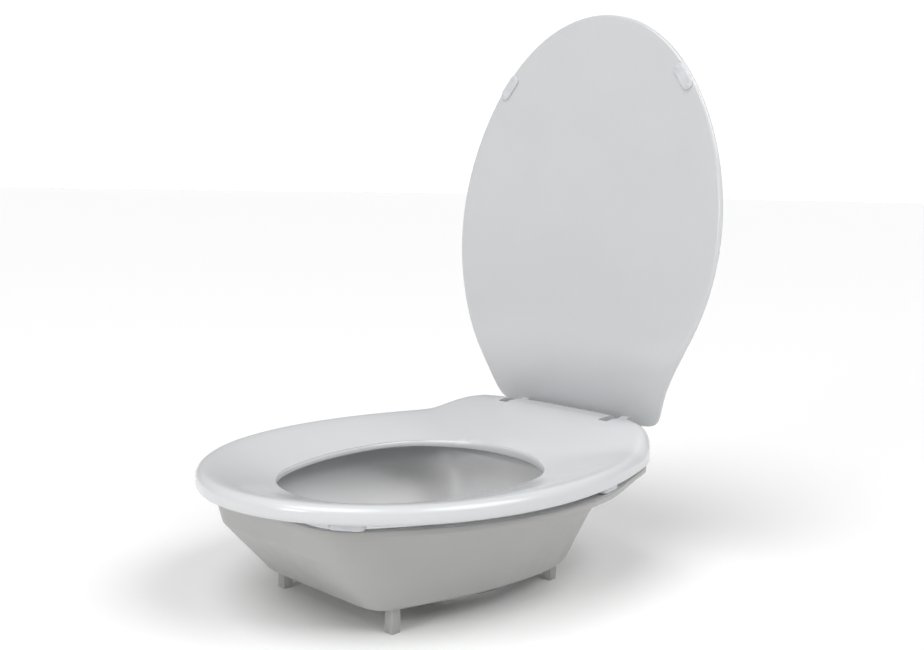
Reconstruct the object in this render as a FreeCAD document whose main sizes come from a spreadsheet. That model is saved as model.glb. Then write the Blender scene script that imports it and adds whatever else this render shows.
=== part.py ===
"""Raised toilet seat: a grey pan on legs with an outlet collar, and a dished seat and a lid on one hinge line.

Millimetres. +Z is up, the user sits facing -Y, and z = 0 is the surface that the legs stand on.
The origin is under the middle of the whole object, with the lid standing open.
"""
import FreeCAD, Part
import math
import os

from FreeCAD import Placement, Rotation, Vector

doc = FreeCAD.newDocument("raised_toilet_seat")

# ---------------------------------------------------------------- driving dimensions
DIMENSIONS = {
    "floor_height": 23,        # underside of the pan's floor
    "crease_height": 79,       # where the pan's front starts to slope under
    "floor_edge": 3,           # bevel between the floor and the sides
    "flange_top": 110,
    "flange_thickness": 3.5,
    "pan_wall": 3.5,
    "outlet_radius": 62,
    "outlet_y": 10,
    "collar_radius": 78,
    "collar_wall": 4,
    "collar_bottom": 6,
    "leg_side": 10.6,
    "leg_x": 79,
    "leg_front_y": -124,
    "leg_rear_y": 87,
    "leg_round": 1.5,
    "leg_screw_radius": 2,
    "leg_screw_depth": 14,
    "leg_screw_head_radius": 4,
    "leg_screw_head": 2.6,
    "leg_washer_radius": 5,
    "leg_washer": 1.5,
    "rim_bottom": 118,         # underside of the seat's outer rim
    "seat_bottom": 111,        # underside of the seat's inner lip
    "crest_height": 134,       # highest line of the seat ring
    "opening_height": 116.5,   # top edge of the seat's opening
    "wing_foot": 98,
    "wing_brow": 188,
    "wing_top": 151,
    "wing_rear": 213,
    "seat_wall": 4,
    "rim_width": 28,           # from the seat's outer edge in to its hollow
    "crest_inset": 12,
    "lip_width": 6,
    "axis_y": 191,
    "axis_z": 136,
    "hinge_x": 72,
    "pin_radius": 3,
    "running_gap": 0.05,
    "pin_half_length": 23.5,
    "ear_half_width": 5,
    "ear_reach": 31,
    "cheek_inner": 5.5,
    "cheek_outer": 16.5,
    "cheek_radius": 6.5,
    "cheek_slope": 6,          # from the foot's front to the cheeks' front
    "bush_radius": 4.5,
    "ear_slot_half_width": 6.2,
    "ear_slot_front": 16,      # from the hinge line forwards
    "block_notch_half_width": 17.5,
    "block_notch_front_y": 197.5,
    "wing_tail_y": 207,        # behind this the wing's rear wall ends higher, to swing past the flange
    "wing_tail_bottom": 123.5,
    "rib_inner": 17,
    "rib_outer": 23,
    "rib_half_depth": 8,
    "rib_below_axis": 6,
    "foot_height": 8,
    "foot_front_y": 160,
    "foot_rear_y": 183,
    "bolt_y": 171,
    "bolt_radius": 3,
    "bolt_bottom": 84,
    "bolt_head_radius": 5.3,
    "bolt_head": 4,
    "bolt_clearance": 0.3,
    "screw_clearance": 0.2,
    "gasket_radius": 11,
    "gasket": 3,
    "nut_radius": 8,
    "nut_height": 9,
    "nut_wing_span": 34,
    "nut_wing_height": 14,
    "nut_wing_thickness": 3,
    "nut_wing_drop": 6,
    "seat_bumper_front_x": 96,
    "seat_bumper_front_y": -190,
    "seat_bumper_front_turn": 38,
    "seat_bumper_rear_x": 161,
    "seat_bumper_rear_y": 70,
    "seat_bumper_rear_turn": -75,
    "lid_bumper_x": 120,
    "lid_bumper_along": 366,
    "lid_bumper_turn": 53,
    "bumper_length": 32,
    "bumper_width": 13,
    "bumper_round": 2,
    "seat_bumper_height": 7.7,
    "lid_bumper_height": 3,
    "lid_thickness": 6,
    "lid_length": 441,
    "lid_lean": 5.6,           # degrees that the open lid leans back
    "lid_plane_y": 193,        # where the lid's flat inner face meets the height below
    "lid_plane_z": 143.3,
    "lid_bend": 26,            # how far the lid's rear edge is set back
    "lid_bend_length": 92,
}
sheet = doc.addObject("Spreadsheet::Sheet", "sizes")
for row, (alias, number) in enumerate(DIMENSIONS.items(), start=1):
    sheet.set(f"A{row}", alias)
    sheet.set(f"B{row}", str(number))
    sheet.setAlias(f"B{row}", alias)
doc.recompute()


def size(alias):
    """A driving dimension, read from the sheet."""
    return float(getattr(sheet, alias))


def bind(thing, **expressions):
    """Binds properties to the sheet: a dot in a property's path is written as two underscores."""
    for path, text in expressions.items():
        for alias in sorted(DIMENSIONS, key=len, reverse=True):
            text = text.replace(f"[{alias}]", f"sizes.{alias}")
        thing.setExpression(path.replace("__", "."), text)
    return thing


def place(thing, x, y, z):
    """Binds a thing's position to the sheet."""
    return bind(thing, Placement__Base__x=x, Placement__Base__y=y, Placement__Base__z=z)


def cylinder(name, radius, height, x, y, z):
    thing = doc.addObject("Part::Cylinder", name)
    bind(thing, Radius=radius, Height=height)
    return place(thing, x, y, z)


def block(name, length, width, height, x, y, z):
    thing = doc.addObject("Part::Box", name)
    bind(thing, Length=length, Width=width, Height=height)
    return place(thing, x, y, z)


def cut(name, base, tool):
    thing = doc.addObject("Part::Cut", name)
    thing.Base, thing.Tool = base, tool
    return thing


def fuse(name, *things):
    thing = doc.addObject("Part::MultiFuse", name)
    thing.Shapes = list(things)
    return thing


def group(name, *things):
    """Separate solids that share one node."""
    thing = doc.addObject("Part::Compound", name)
    thing.Links = list(things)
    return thing


sub_parts = []


def finish_part(thing, label):
    thing.Label = label
    sub_parts.append(thing)
    return thing


def shaped(label, shape, placement=None):
    """A sub-part whose free-form shape comes from Part's own functions."""
    thing = doc.addObject("Part::Feature", label)
    thing.Shape = shape
    thing.Placement = placement or Placement()
    return finish_part(thing, label)


# ---------------------------------------------------------------- outlines
def closed_curve(half):
    """The right half of a closed outline, from front to rear, mirrored to the whole of it."""
    points = list(half) + [(-x, y) for x, y in reversed(half) if x > 0]
    return points


def moved_in(points, distance):
    """A closed outline moved inwards by a distance, or outwards by a negative one."""
    moved = []
    for i, (x, y) in enumerate(points):
        (ax, ay), (bx, by) = points[i - 1], points[(i + 1) % len(points)]
        dx, dy = bx - ax, by - ay
        length = math.hypot(dx, dy)
        moved.append((x - distance * dy / length, y + distance * dx / length))
    return moved


def smooth_wire(points, z):
    """A closed cubic spline whose poles are set outwards, so that it passes by the outline's points."""
    poles = []
    for i, (x, y) in enumerate(points):
        (ax, ay), (bx, by) = points[i - 1], points[(i + 1) % len(points)]
        poles.append(Vector(x + (2 * x - ax - bx) / 6, y + (2 * y - ay - by) / 6, z))
    curve = Part.BSplineCurve()
    curve.buildFromPoles(poles, True, 3)
    return Part.Wire([curve.toShape()])


def loft(*levels):
    """A solid through closed outlines, each given as (points, z)."""
    return Part.makeLoft([smooth_wire(points, z) for points, z in levels], True, True)


def prism(points, low, high):
    return Part.Face(smooth_wire(points, low)).extrude(Vector(0, 0, high - low))


def box_shape(x0, x1, y0, y1, z0, z1):
    return Part.makeBox(x1 - x0, y1 - y0, z1 - z0, Vector(x0, y0, z0))


def side_prism(outline, half_width):
    """A polygon in Y and Z, extruded across the whole width."""
    corners = [Vector(-half_width, y, z) for y, z in outline]
    return Part.Face(Part.makePolygon(corners + corners[:1])).extrude(Vector(2 * half_width, 0, 0))


# Right halves, from the front of the centre line to the rear of it.
FLANGE = [(0, -209), (56, -209), (92, -202), (113, -176), (142, -128), (160, -82), (174, -20),
          (176, 30), (166, 80), (148, 125), (135, 160), (124, 184), (98, 193), (50, 193.5), (0, 193.5)]
WALL_TOP = [(0, -206), (54, -206), (87, -200), (108, -172), (134, -124), (151, -80), (164, -20),
            (165, 28), (156, 70), (137, 104), (110, 123), (80, 131), (52, 133), (26, 134), (0, 134)]
WALL_CREASE = [(0, -199), (52, -199), (82, -194), (98, -168), (118, -120), (132, -76), (144, -20),
               (144, 28), (136, 67), (120, 99), (98, 117), (72, 126), (47, 129), (24, 130), (0, 130)]
FLOOR = [(0, -147), (50, -147), (78, -143), (89, -126), (97, -92), (105, -58), (110, -18),
         (111, 22), (107, 58), (96, 90), (80, 109), (60, 118), (40, 121), (20, 122), (0, 122)]
SEAT_EDGE = [(0, -247), (55, -236), (100, -210), (135, -174), (162, -130), (180, -72), (185, -15),
             (181, 40), (169, 92), (152, 143), (139, 168), (121, 188), (95, 204), (48, 213), (0, 213)]
OPENING = [(0, -170), (27, -166), (50, -155), (70, -137), (86, -111), (100, -70), (107, -30),
           (107.5, 10), (101, 40), (89, 62), (73, 77), (55, 89), (36, 96.5), (18, 100), (0, 101)]
# Panel coordinates of the lid: x across it, and y along it from the hinge end.
LID_EDGE = [(0, -0.5), (36, -0.5), (70, -0.5), (94, 0), (109, 5), (118, 18), (129, 44), (148, 79), (164, 115),
            (176, 156), (181, 210), (173, 270), (152, 328), (118, 381), (67, 423), (0, 440)]


# ---------------------------------------------------------------- pan
def pan_shape():
    """Moulded tub: flat flange, sides that slope in, a front that slopes under, an outlet in the floor."""
    top, wall, low = size("flange_top"), size("pan_wall"), size("floor_height")
    crease, edge = size("crease_height"), size("floor_edge")
    rim, side = closed_curve(FLANGE), closed_curve(WALL_TOP)
    bend, floor = closed_curve(WALL_CREASE), closed_curve(FLOOR)
    outside = loft((side, top), (bend, crease), (floor, low + edge), (moved_in(floor, edge), low))
    inside = loft((moved_in(side, wall), top + 1), (moved_in(bend, wall), crease),
                  (moved_in(floor, wall), low + edge + 1), (moved_in(floor, wall + edge - 1), low + wall))
    flange = prism(rim, top - size("flange_thickness"), top)
    outlet = Part.makeCylinder(size("outlet_radius"), 4 * wall, Vector(0, size("outlet_y"), low - wall))
    shape = outside.fuse(flange).cut(inside).cut(outlet)
    for side_sign in (-1, 1):
        x = side_sign * size("hinge_x")
        bolt_hole = size("bolt_radius") + size("bolt_clearance")
        shape = shape.cut(Part.makeCylinder(bolt_hole, 2 * low, Vector(x, size("bolt_y"), top - low)))
        for y in (size("leg_front_y"), size("leg_rear_y")):
            screw_hole = size("leg_screw_radius") + size("screw_clearance")
            spot = Vector(side_sign * size("leg_x"), y, low - wall)
            shape = shape.cut(Part.makeCylinder(screw_hole, 4 * wall, spot))
    return shape.removeSplitter()


shaped("pan", pan_shape())

# ---------------------------------------------------------------- outlet collar
outer = cylinder("collar_outer", "[collar_radius]", "[floor_height] - [collar_bottom]",
                 "0", "[outlet_y]", "[collar_bottom]")
inner = cylinder("collar_inner", "[collar_radius] - [collar_wall]",
                 "[floor_height] - [collar_bottom] - [collar_wall]",
                 "0", "[outlet_y]", "[collar_bottom]")
throat = cylinder("collar_throat", "[outlet_radius]", "[floor_height]", "0", "[outlet_y]", "[collar_bottom]")
collar = cut("outlet_collar", cut("collar_shell", outer, inner), throat)
finish_part(collar, "outlet_collar")


# ---------------------------------------------------------------- legs and their screws
def leg(label, x, y):
    """Square post with rounded edges and a blind hole for its screw."""
    post = block(label + "_post", "[leg_side]", "[leg_side]", "[floor_height]",
                 f"{x} - [leg_side] / 2", f"{y} - [leg_side] / 2", "0")
    doc.recompute()
    upright = [i + 1 for i, edge in enumerate(post.Shape.Edges)
               if abs(edge.tangentAt(edge.FirstParameter).z) > 0.9]
    rounded = doc.addObject("Part::Fillet", label + "_rounded")
    rounded.Base = post
    rounded.Edges = [(i, size("leg_round"), size("leg_round")) for i in upright]
    hole = cylinder(label + "_hole", "[leg_screw_radius]", "[leg_screw_depth] + 1",
                    x, y, "[floor_height] - [leg_screw_depth]")
    finish_part(cut(label, rounded, hole), label)


def leg_screw(name, x, y):
    """Pan-head screw that goes down through washer and floor into the leg."""
    seat_z = "[floor_height] + [pan_wall] + [leg_washer]"
    shank = cylinder(name + "_shank", "[leg_screw_radius]", f"{seat_z} - [floor_height] + [leg_screw_depth]",
                     x, y, "[floor_height] - [leg_screw_depth]")
    head = cylinder(name + "_head", "[leg_screw_head_radius]", "[leg_screw_head]", x, y, seat_z)
    return fuse(name, shank, head)


def leg_washer(name, x, y):
    seat_z = "[floor_height] + [pan_wall]"
    disc = cylinder(name + "_disc", "[leg_washer_radius]", "[leg_washer]", x, y, seat_z)
    hole = cylinder(name + "_hole", "[leg_screw_radius] + [screw_clearance]", "[leg_washer]", x, y, seat_z)
    return cut(name, disc, hole)


screws, washers = [], []
for end in ("front", "rear"):
    for side, sign in (("left", "-"), ("right", "")):
        x, y = f"{sign}[leg_x]", f"[leg_{end}_y]"
        leg(f"leg_{end}_{side}", x, y)
        screws.append(leg_screw(f"leg_screw_{end}_{side}", x, y))
        washers.append(leg_washer(f"leg_washer_{end}_{side}", x, y))
finish_part(group("leg_screws", *screws), "leg_screws")
finish_part(group("leg_screw_washers", *washers), "leg_screw_washers")


# ---------------------------------------------------------------- seat
def ring_shape(edge, opening, inner):
    """Hollow ring as one closed loft: up the outer rim, down the dish, and back along the inside."""
    wall, crest = size("seat_wall"), size("crest_height")
    rim_low, lip_low, mouth = size("rim_bottom"), size("seat_bottom"), size("opening_height")
    hollow = moved_in(edge, size("rim_width"))
    levels = [(moved_in(edge, 2), rim_low), (edge, rim_low + 5), (edge, rim_low + 9),
              (moved_in(edge, 4), crest - 2), (moved_in(edge, size("crest_inset")), crest),
              (opening, mouth), (opening, lip_low), (inner, lip_low), (inner, mouth - wall),
              (hollow, crest - wall - 1.5), (hollow, rim_low)]
    return Part.makeLoft([smooth_wire(points, z) for points, z in levels], True, True, True)


def seat_shape():
    """The dished ring, with a raised wing at the rear that hides the hinges and is hollow below."""
    wall, rim_low, lip_low = size("seat_wall"), size("rim_bottom"), size("seat_bottom")
    wing, rear, mouth = size("wing_top"), size("wing_rear"), size("opening_height")
    edge, opening = closed_curve(SEAT_EDGE), closed_curve(OPENING)
    inner = moved_in(opening, -size("lip_width"))
    foot, brow = size("wing_foot"), size("wing_brow")
    ramp = [(foot, mouth - 2), (foot + 3, mouth), (foot + 42, size("crest_height")), (brow - 20, wing - 6),
            (brow, wing), (rear + 5, wing), (rear + 5, mouth - 2)]
    raised = side_prism(ramp, rear).common(prism(edge, rim_low, wing))
    body = ring_shape(edge, opening, inner).fuse(raised).cut(prism(opening, lip_low - 1, mouth + 30))
    ceiling = [(y, z - wall) for y, z in ramp[2:-1]]
    hollow = [(foot + 14, lip_low - 1), (foot + 34, ceiling[0][1] - 1)]
    hollow += ceiling[1:] + [(rear + 5, lip_low - 1)]
    wing_hollow = side_prism(hollow, rear).common(prism(moved_in(edge, wall), lip_low - 1, wing))
    return body.cut(wing_hollow.cut(prism(inner, lip_low - 2, mouth)))


def hinge_clearance(side_sign):
    """The notch in the wing's rear wall round a hinge block, and the slot for the lid's ear."""
    x, behind = side_sign * size("hinge_x"), size("wing_rear") + 10
    reach, half = size("block_notch_half_width"), size("ear_slot_half_width")
    notch = box_shape(x - reach, x + reach, size("block_notch_front_y"), behind,
                      size("flange_top"), size("wing_top") - size("seat_wall"))
    slot = box_shape(x - half, x + half, size("axis_y") - size("ear_slot_front"), behind,
                     size("rim_bottom"), size("wing_top") + 1)
    return notch.fuse(slot)


def tail_clearance():
    """The strip cut from the foot of the wing's rear wall, which swings down past the flange's edge."""
    width = size("wing_rear")
    return box_shape(-width, width, size("wing_tail_y"), size("wing_rear") + 10,
                     size("flange_top"), size("wing_tail_bottom"))


def rib(x0, x1):
    """A rib under the wing, bored for the hinge pin."""
    y, z, depth = size("axis_y"), size("axis_z"), size("rib_half_depth")
    return box_shape(x0, x1, y - depth, y + depth, z - size("rib_below_axis"), size("wing_top") - 2)


def pin_bore(x, half_length):
    """What a hinge pin's running bore takes away, centred on x."""
    start = Vector(x - half_length, size("axis_y"), size("axis_z"))
    radius = size("pin_radius") + size("running_gap")
    return Part.makeCylinder(radius, 2 * half_length, start, Vector(1, 0, 0))


def seat_with_hinges():
    shape = seat_shape().cut(tail_clearance())
    for side_sign in (-1, 1):
        x = side_sign * size("hinge_x")
        for a, b in ((-size("rib_outer"), -size("rib_inner")), (size("rib_inner"), size("rib_outer"))):
            shape = shape.fuse(rib(x + a, x + b))
        shape = shape.cut(hinge_clearance(side_sign))
        shape = shape.cut(pin_bore(x, size("pin_half_length") + 1))
    return shape


shaped("seat", seat_with_hinges())


# ---------------------------------------------------------------- bumpers
def bumper(label, height, placement):
    """Soft oblong pad: a stadium outline padded to its height and rounded on its free side."""
    body = doc.addObject("PartDesign::Body", label)
    sketch = body.newObject("Sketcher::SketchObject", label + "_outline")
    plane = [f for f in body.Origin.OriginFeatures if f.Role == "XY_Plane"][0]
    sketch.AttachmentSupport = [(plane, "")]
    sketch.MapMode = "FlatFace"
    half = (size("bumper_length") - size("bumper_width")) / 2
    r, quarter, up = size("bumper_width") / 2, math.pi / 2, Vector(0, 0, 1)
    sketch.addGeometry(Part.LineSegment(Vector(-half, r, 0), Vector(half, r, 0)))
    sketch.addGeometry(Part.LineSegment(Vector(half, -r, 0), Vector(-half, -r, 0)))
    sketch.addGeometry(Part.ArcOfCircle(Part.Circle(Vector(half, 0, 0), up, r), -quarter, quarter))
    sketch.addGeometry(Part.ArcOfCircle(Part.Circle(Vector(-half, 0, 0), up, r), quarter, 3 * quarter))
    pad = body.newObject("PartDesign::Pad", label + "_pad")
    pad.Profile = sketch
    bind(pad, Length=height)
    doc.recompute()
    top = max(range(len(pad.Shape.Faces)), key=lambda i: pad.Shape.Faces[i].CenterOfMass.z)
    fillet = body.newObject("PartDesign::Fillet", label + "_round")
    fillet.Base = (pad, [f"Face{top + 1}"])
    bind(fillet, Radius="[bumper_round]")
    body.Placement = placement
    finish_part(body, label)


for side, sign in (("left", -1), ("right", 1)):
    for end in ("front", "rear"):
        where = f"seat_bumper_{end}"
        spot = Vector(sign * size(where + "_x"), size(where + "_y"), size("rim_bottom"))
        down = Rotation(Vector(1, 0, 0), 180)
        turn = Rotation(Vector(0, 0, 1), sign * size(where + "_turn"))
        bumper(f"{where}_{side}", "[seat_bumper_height]", Placement(spot, turn * down))


# ---------------------------------------------------------------- lid
lid_place = Placement(Vector(0, size("lid_plane_y"), size("lid_plane_z")),
                      Rotation(Vector(1, 0, 0), 90 - size("lid_lean")))


def lid_setback(along):
    """How far the lid's rear part is set back behind its flat face, as a parabola."""
    left = max(0.0, 1 - along / size("lid_bend_length"))
    return size("lid_bend") * left ** 2


def lid_shape():
    """Flat panel with an oval outline, whose hinge end bends back."""
    steps, spare, length = 8, 12, size("lid_length")
    bend_length, back = size("lid_bend_length"), Vector(0, 0, -size("lid_thickness"))
    stations = [(bend_length + spare) * i / steps - spare for i in range(steps + 1)]
    inner = [Vector(-length / 2, along, -lid_setback(along)) for along in stations]
    curve = Part.BSplineCurve()
    curve.interpolate(inner)
    bend = curve.toShape()
    far = Vector(-length / 2, length + spare, 0)
    corners = [inner[-1], far, far + back, inner[-1] + back]
    lines = [Part.LineSegment(a, b).toShape() for a, b in zip(corners, corners[1:])]
    lines.append(Part.LineSegment(inner[0] + back, inner[0]).toShape())
    profile = Part.Face(Part.Wire(Part.__sortEdges__([bend, bend.translated(back)] + lines)))
    slab = profile.extrude(Vector(length, 0, 0))
    return slab.common(prism(closed_curve(LID_EDGE), -length / 4, length / 4))


def ear_shape(x):
    """Ear in row coordinates: from the pin's boss back to the lid's hinge end."""
    y, z, half = size("axis_y"), size("axis_z"), size("ear_half_width")
    r, reach = size("cheek_radius") - 0.5, size("ear_reach")
    boss = Part.makeCylinder(r, 2 * half, Vector(x - half, y, z), Vector(1, 0, 0))
    outline = [(y, z + r), (y + reach - 2, z + reach / 2), (y + reach, z + reach / 4), (y + r / 2, z - r + 1)]
    corners = [Vector(x - half, *corner) for corner in outline]
    arm = Part.Face(Part.makePolygon(corners + corners[:1])).extrude(Vector(2 * half, 0, 0))
    return boss.fuse(arm)


def lid_with_ears():
    shape = lid_shape()
    to_panel = lid_place.inverse()
    for side_sign in (-1, 1):
        x = side_sign * size("hinge_x")
        ear = ear_shape(x)
        ear = ear.cut(pin_bore(x, size("ear_half_width") + 1))
        shape = shape.fuse(ear.transformGeometry(to_panel.toMatrix()))
    return shape.removeSplitter()


shaped("lid", lid_with_ears(), lid_place)
for side, sign in (("left", -1), ("right", 1)):
    on_panel = Vector(sign * size("lid_bumper_x"), size("lid_bumper_along"), 0)
    turn = Rotation(Vector(0, 0, 1), -sign * size("lid_bumper_turn"))
    bumper(f"lid_bumper_{side}", "[lid_bumper_height]", lid_place * Placement(on_panel, turn))


# ---------------------------------------------------------------- hinges
def hinge_block(label, x):
    """Clevis on a foot: two cheeks that carry the pin on both sides of the lid's ear."""
    y, z, top = size("axis_y"), size("axis_z"), size("flange_top")
    r, foot = size("cheek_radius"), size("foot_height")
    front = size("foot_front_y")
    inner, outer, slope = size("cheek_inner"), size("cheek_outer"), size("cheek_slope")
    shape = box_shape(x - outer, x + outer, front, size("foot_rear_y"), top, top + foot)
    outline = [(front + slope, top), (y + 1, top), (y + r, z), (y - r, z), (front + slope, top + foot)]
    for a, b in ((-outer, -inner), (inner, outer)):
        corners = [Vector(x + a, *corner) for corner in outline]
        cheek = Part.Face(Part.makePolygon(corners + corners[:1])).extrude(Vector(b - a, 0, 0))
        shape = shape.fuse(cheek).fuse(Part.makeCylinder(r, b - a, Vector(x + a, y, z), Vector(1, 0, 0)))
    width = 2 * outer + 2
    start = Vector(x - width / 2, y, z)
    shape = shape.cut(Part.makeCylinder(size("bush_radius"), width, start, Vector(1, 0, 0)))
    bolt_hole = size("bolt_radius") + size("bolt_clearance")
    shape = shape.cut(Part.makeCylinder(bolt_hole, 3 * foot, Vector(x, size("bolt_y"), top - foot)))
    shaped(label, shape.removeSplitter())


def along_x(name, radius, length, x):
    """A cylinder along the hinge line, starting at x."""
    thing = cylinder(name, radius, length, x, "[axis_y]", "[axis_z]")
    thing.Placement = Placement(thing.Placement.Base, Rotation(Vector(0, 1, 0), 90))
    return place(thing, x, "[axis_y]", "[axis_z]")


def hinge_bushes(label, x):
    """One sleeve in each cheek."""
    sleeves = []
    for name, start in (("outer", f"{x} + [cheek_inner]"), ("inner", f"{x} - [cheek_outer]")):
        length = "[cheek_outer] - [cheek_inner]"
        ring = along_x(f"{label}_{name}_ring", "[bush_radius]", length, start)
        bore = along_x(f"{label}_{name}_bore", "[pin_radius] + [running_gap]", length, start)
        sleeves.append(cut(f"{label}_{name}", ring, bore))
    finish_part(group(label, *sleeves), label)


def hinge_bolt(label, x):
    """Hex bolt down through the block's foot and the pan's flange."""
    seat_z = "[flange_top] + [foot_height]"
    shank = cylinder(label + "_shank", "[bolt_radius]", f"{seat_z} - [bolt_bottom]",
                     x, "[bolt_y]", "[bolt_bottom]")
    head = doc.addObject("Part::Prism", label + "_head")
    head.Polygon = 6
    bind(head, Circumradius="[bolt_head_radius]", Height="[bolt_head]")
    place(head, x, "[bolt_y]", seat_z)
    finish_part(fuse(label, shank, head), label)


def bolt_gasket(label, x):
    z = "[flange_top] - [flange_thickness] - [gasket]"
    disc = cylinder(label + "_disc", "[gasket_radius]", "[gasket]", x, "[bolt_y]", z)
    hole = cylinder(label + "_hole", "[bolt_radius] + [screw_clearance]", "[gasket]", x, "[bolt_y]", z)
    finish_part(cut(label, disc, hole), label)


def wing_nut(label, x):
    """Round nut with two finger wings, threaded on the bolt."""
    z = "[flange_top] - [flange_thickness] - [gasket] - [nut_height]"
    barrel = cylinder(label + "_barrel", "[nut_radius]", "[nut_height]", x, "[bolt_y]", z)
    wings = block(label + "_wings", "[nut_wing_span]", "[nut_wing_thickness]", "[nut_wing_height]",
                  f"{x} - [nut_wing_span] / 2", "[bolt_y] - [nut_wing_thickness] / 2",
                  f"{z} - [nut_wing_drop]")
    hole = cylinder(label + "_hole", "[bolt_radius] + [running_gap]", "2 * [nut_wing_span]", x, "[bolt_y]",
                    f"{z} - [nut_wing_span]")
    finish_part(cut(label, fuse(label + "_solid", barrel, wings), hole), label)


for side, sign in (("left", "-"), ("right", "")):
    x = f"{sign}[hinge_x]"
    hinge_block(f"hinge_block_{side}", float(sign + "1") * size("hinge_x"))
    hinge_bushes(f"hinge_bushes_{side}", x)
    pin = along_x(f"hinge_pin_{side}", "[pin_radius]", "2 * [pin_half_length]", f"{x} - [pin_half_length]")
    finish_part(pin, f"hinge_pin_{side}")
    hinge_bolt(f"hinge_bolt_{side}", x)
    bolt_gasket(f"bolt_gasket_{side}", x)
    wing_nut(f"wing_nut_{side}", x)

# ---------------------------------------------------------------- check and write
doc.recompute()
for thing in doc.Objects:
    if "Invalid" in thing.State or "Error" in thing.State:
        raise RuntimeError(f"{thing.Name} failed: {thing.State}")
os.makedirs("parts", exist_ok=True)
for thing in sub_parts:
    shape = thing.Shape
    if shape.isNull() or not shape.isValid():
        raise RuntimeError(f"{thing.Label} has no valid shape")
    shape.exportStep(f"parts/{thing.Label}.step")
    print(thing.Label, len(shape.Solids), "solids", round(shape.Volume), "mm3")
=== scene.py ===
"""Raised toilet seat: a grey tub on four short legs, with a hinged dished seat and lid.

Metres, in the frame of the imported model: +Z is up and the user sits facing -Y.
"""

import math

import bmesh
import bpy
from mathutils import Matrix, Vector


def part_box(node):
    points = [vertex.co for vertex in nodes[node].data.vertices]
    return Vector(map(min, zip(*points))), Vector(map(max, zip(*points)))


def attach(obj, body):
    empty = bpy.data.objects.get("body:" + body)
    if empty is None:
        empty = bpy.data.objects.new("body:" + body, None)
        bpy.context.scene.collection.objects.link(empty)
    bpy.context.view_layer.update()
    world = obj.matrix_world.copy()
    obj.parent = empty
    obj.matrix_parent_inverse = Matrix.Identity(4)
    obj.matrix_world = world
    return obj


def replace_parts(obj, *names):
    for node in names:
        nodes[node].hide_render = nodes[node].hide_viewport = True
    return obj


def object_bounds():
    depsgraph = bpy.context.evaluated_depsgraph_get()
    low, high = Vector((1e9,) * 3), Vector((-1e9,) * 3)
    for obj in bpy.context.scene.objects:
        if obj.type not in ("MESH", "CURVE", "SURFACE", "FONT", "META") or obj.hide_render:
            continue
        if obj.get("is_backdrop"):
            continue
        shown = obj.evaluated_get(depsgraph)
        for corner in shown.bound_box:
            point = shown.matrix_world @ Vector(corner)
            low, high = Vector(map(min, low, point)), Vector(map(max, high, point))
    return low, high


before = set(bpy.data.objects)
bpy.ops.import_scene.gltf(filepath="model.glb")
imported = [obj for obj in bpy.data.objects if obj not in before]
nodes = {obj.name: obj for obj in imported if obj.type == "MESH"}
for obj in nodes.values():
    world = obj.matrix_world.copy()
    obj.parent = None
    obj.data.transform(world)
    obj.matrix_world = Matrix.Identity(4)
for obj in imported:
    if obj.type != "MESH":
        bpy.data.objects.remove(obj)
cad_low, cad_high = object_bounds()

# ---------------------------------------------------------------- pan
# A one-piece tub of satin grey polypropylene, injection moulded with a flat flange round its mouth.
# Its sides slope in, its front slopes under, and a round outlet is cut in its floor.
pan_low, pan_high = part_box("pan")
pan_top = pan_high.z
pan_floor = pan_low.z
pan_wall = 0.0035
pan_crease_height = 0.079
flange_lip_width, flange_lip_depth = 0.0018, 0.0058
shoulder_inset, shoulder_height = 0.007, 0.0975
bend_inset, bend_share, bend_height = 0.0065, 0.7, 0.090
outlet_radius = 0.062
outlet_centre = Vector((0, 0.010))

# Right halves of the outlines, from the front of the middle line to the rear of it.
flange_outline = [(0, -.209), (.056, -.209), (.092, -.202), (.113, -.176), (.142, -.128), (.160, -.082),
                  (.174, -.020), (.176, .030), (.166, .080), (.148, .125), (.135, .160), (.124, .184),
                  (.098, .193), (.050, .1935), (0, .1935)]
mouth_outline = [(0, -.206), (.054, -.206), (.087, -.200), (.108, -.172), (.134, -.124), (.151, -.080),
                 (.164, -.020), (.165, .028), (.156, .070), (.137, .104), (.110, .123), (.080, .131),
                 (.052, .133), (.026, .134), (0, .134)]
crease_outline = [(0, -.199), (.052, -.199), (.082, -.194), (.098, -.168), (.118, -.120), (.132, -.076),
                  (.144, -.020), (.144, .028), (.136, .067), (.120, .099), (.098, .117), (.072, .126),
                  (.047, .129), (.024, .130), (0, .130)]
floor_outline = [(0, -.147), (.050, -.147), (.078, -.143), (.089, -.126), (.097, -.092), (.105, -.058),
                 (.110, -.018), (.111, .022), (.107, .058), (.096, .090), (.080, .109), (.060, .118),
                 (.040, .121), (.020, .122), (0, .122)]


def closed_outline(half, per_point=6):
    """Points round the closed outline that has this right half, along a cubic spline that passes by them."""
    points = [Vector(p) for p in half] + [Vector((-x, y)) for x, y in reversed(half[1:-1])]
    total = len(points)
    poles = [p + (2 * p - points[i - 1] - points[(i + 1) % total]) / 6 for i, p in enumerate(points)]
    outline = []
    for i in range(total):
        before, here, after, later = (poles[(i + k) % total] for k in (-1, 0, 1, 2))
        for step in range(per_point):
            t = step / per_point
            outline.append(((1 - t) ** 3 * before + (3 * t ** 3 - 6 * t * t + 4) * here
                            + (3 * t + 3 * t * t - 3 * t ** 3 + 1) * after + t ** 3 * later) / 6)
    return outline


def moved_in(outline, distance):
    """The outline moved inwards by a distance."""
    moved = []
    for i, point in enumerate(outline):
        along = outline[(i + 1) % len(outline)] - outline[i - 1]
        moved.append(point + Vector((-along.y, along.x)).normalized() * distance)
    return moved


def at_height(outline, height):
    return [Vector((p.x, p.y, height)) for p in outline]


def first_ring(mesh, places):
    """A closed loop of edges through the given places."""
    ring = bmesh.ops.create_circle(mesh, segments=len(places), radius=1)["verts"]
    for vertex, place in zip(ring, places):
        vertex.co = place
    return ring


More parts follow.
